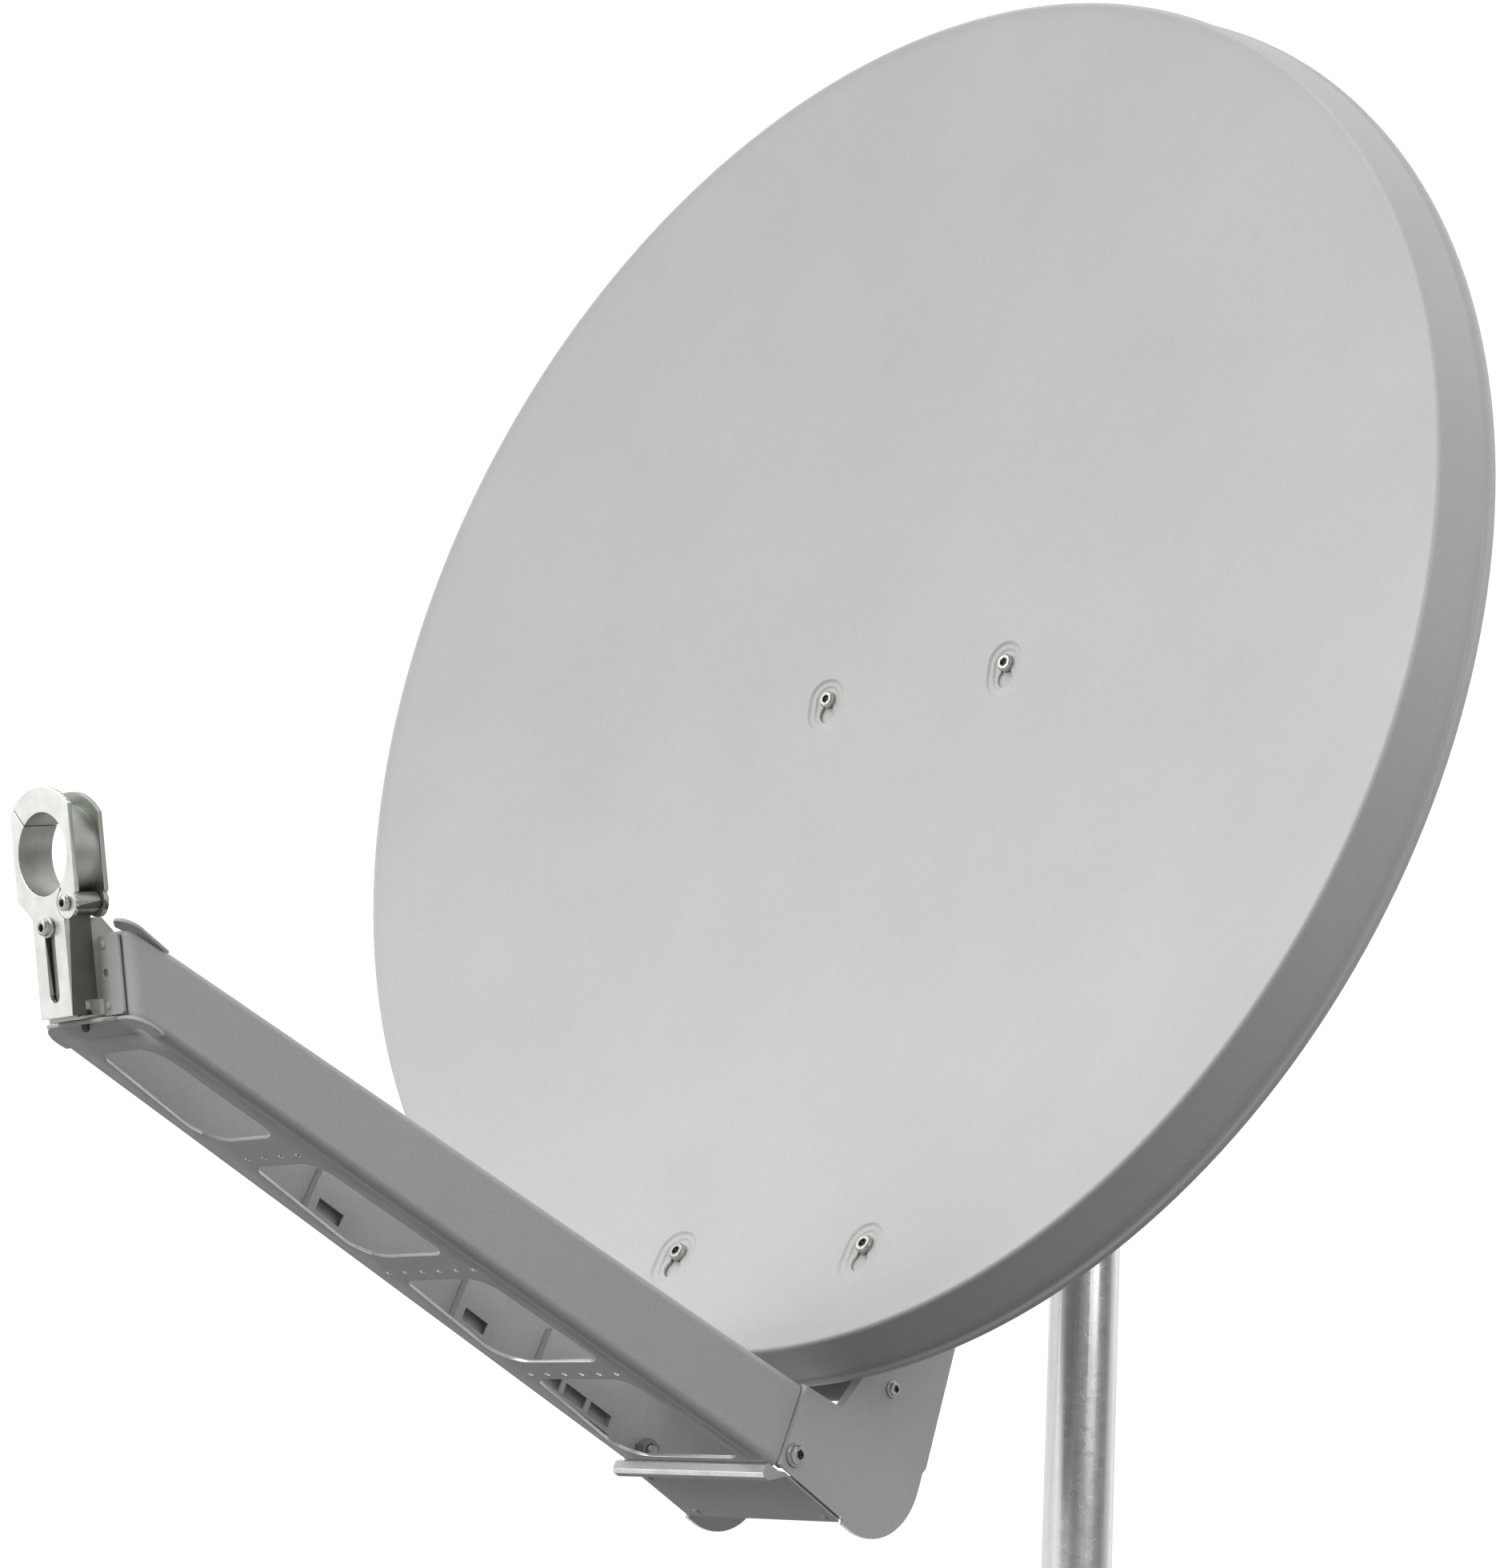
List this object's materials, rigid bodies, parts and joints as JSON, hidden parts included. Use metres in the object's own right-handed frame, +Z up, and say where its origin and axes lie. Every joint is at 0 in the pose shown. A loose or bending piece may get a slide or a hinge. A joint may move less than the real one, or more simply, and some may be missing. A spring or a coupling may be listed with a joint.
{
  "type": "satellite dish",
  "caption": "Offset satellite dish: oval bowl with a turned rim, perforated channel arm with a clamp ring for the receiver, folded side plates, tilting yoke and clamp on a round mast.",
  "frame": {"origin": "centre of the mast's foot", "axes": "+Z up along the mast, -Y the way the dish faces, +X to the right seen from in front of the bowl"},
  "size_m": [0.8772, 0.8828, 1.1492],
  "materials": {
    "dish_paint": "satin powder coat, light grey",
    "arm_paint": "satin powder coat, light grey",
    "bracket_paint": "satin powder coat, mid grey",
    "galvanised_steel": "hot-dip galvanised",
    "zinc": "zinc plated",
    "cast_metal": "grey coated sheet",
    "bright_steel": "bright plated"
  },
  "bodies": {
    "mast": {"mast_tube": "galvanised_steel"},
    "yoke": {"mast_yoke": "bracket_paint", "clamp_saddle_upper": "zinc", "clamp_saddle_lower": "zinc", "clamp_jaw_upper": "zinc", "clamp_jaw_lower": "zinc", "clamp_bolt_upper_left": "zinc", "clamp_bolt_upper_right": "zinc", "clamp_bolt_lower_left": "zinc", "clamp_bolt_lower_right": "zinc", "clamp_nut_upper_left": "zinc", "clamp_nut_upper_right": "zinc", "clamp_nut_lower_left": "zinc", "clamp_nut_lower_right": "zinc", "elevation_pivot_bolt": "zinc", "elevation_pivot_nut": "zinc", "elevation_lock_bolt": "zinc", "elevation_lock_nut": "zinc"},
    "dish_frame": {"reflector": "dish_paint", "cross_bar_upper": "dish_paint", "cross_bar_lower": "dish_paint", "dish_bolt_upper_left": "zinc", "dish_bolt_upper_right": "zinc", "dish_bolt_lower_left": "zinc", "dish_bolt_lower_right": "zinc", "dish_nut_upper_left": "zinc", "dish_nut_upper_right": "zinc", "dish_nut_lower_left": "zinc", "dish_nut_lower_right": "zinc", "side_plate_left": "arm_paint", "side_plate_right": "arm_paint", "bracket_floor": "arm_paint", "tie_tube": "bracket_paint", "tie_screw_left": "zinc", "tie_screw_right": "zinc", "arm_bolt_left": "zinc", "arm_bolt_right": "zinc", "arm_nut_left": "zinc", "arm_nut_right": "zinc", "arm_channel": "arm_paint", "arm_cable_plate_1": "arm_paint", "arm_cable_plate_2": "arm_paint", "arm_cable_plate_3": "arm_paint", "nose_strip_left": "arm_paint", "nose_strip_right": "arm_paint", "feed_bracket": "cast_metal", "foot_screw": "zinc", "slide_screw": "zinc", "slide_nut": "zinc"},
    "ring_holder": {"ring_stem": "bright_steel", "ring_hinge_screw": "zinc", "ring_hinge_nut": "zinc"},
    "ring_cap": {"ring_cap": "bright_steel", "ring_lock_screw": "zinc"}
  },
  "joints": [
    {"name": "azimuth", "type": "hinge", "parent": "mast", "child": "yoke", "pos_m": [0, 0, 0.47], "axis": [0, 0, 1], "continuous": true},
    {"name": "elevation", "type": "hinge", "parent": "yoke", "child": "dish_frame", "pos_m": [0, -0.09, 0.47], "axis": [-1, 0, 0], "range_deg": [-20, 30]},
    {"name": "holder_slide", "type": "slide", "parent": "dish_frame", "child": "ring_holder", "axis": [0, -0.238, 0.9713], "range_m": [0, 0.03]},
    {"name": "clamp_hinge", "type": "hinge", "parent": "ring_holder", "child": "ring_cap", "pos_m": [0.016, -0.81365, 0.42352], "axis": [0, 0.9713, 0.238], "range_deg": [0, 75]}
  ]
}
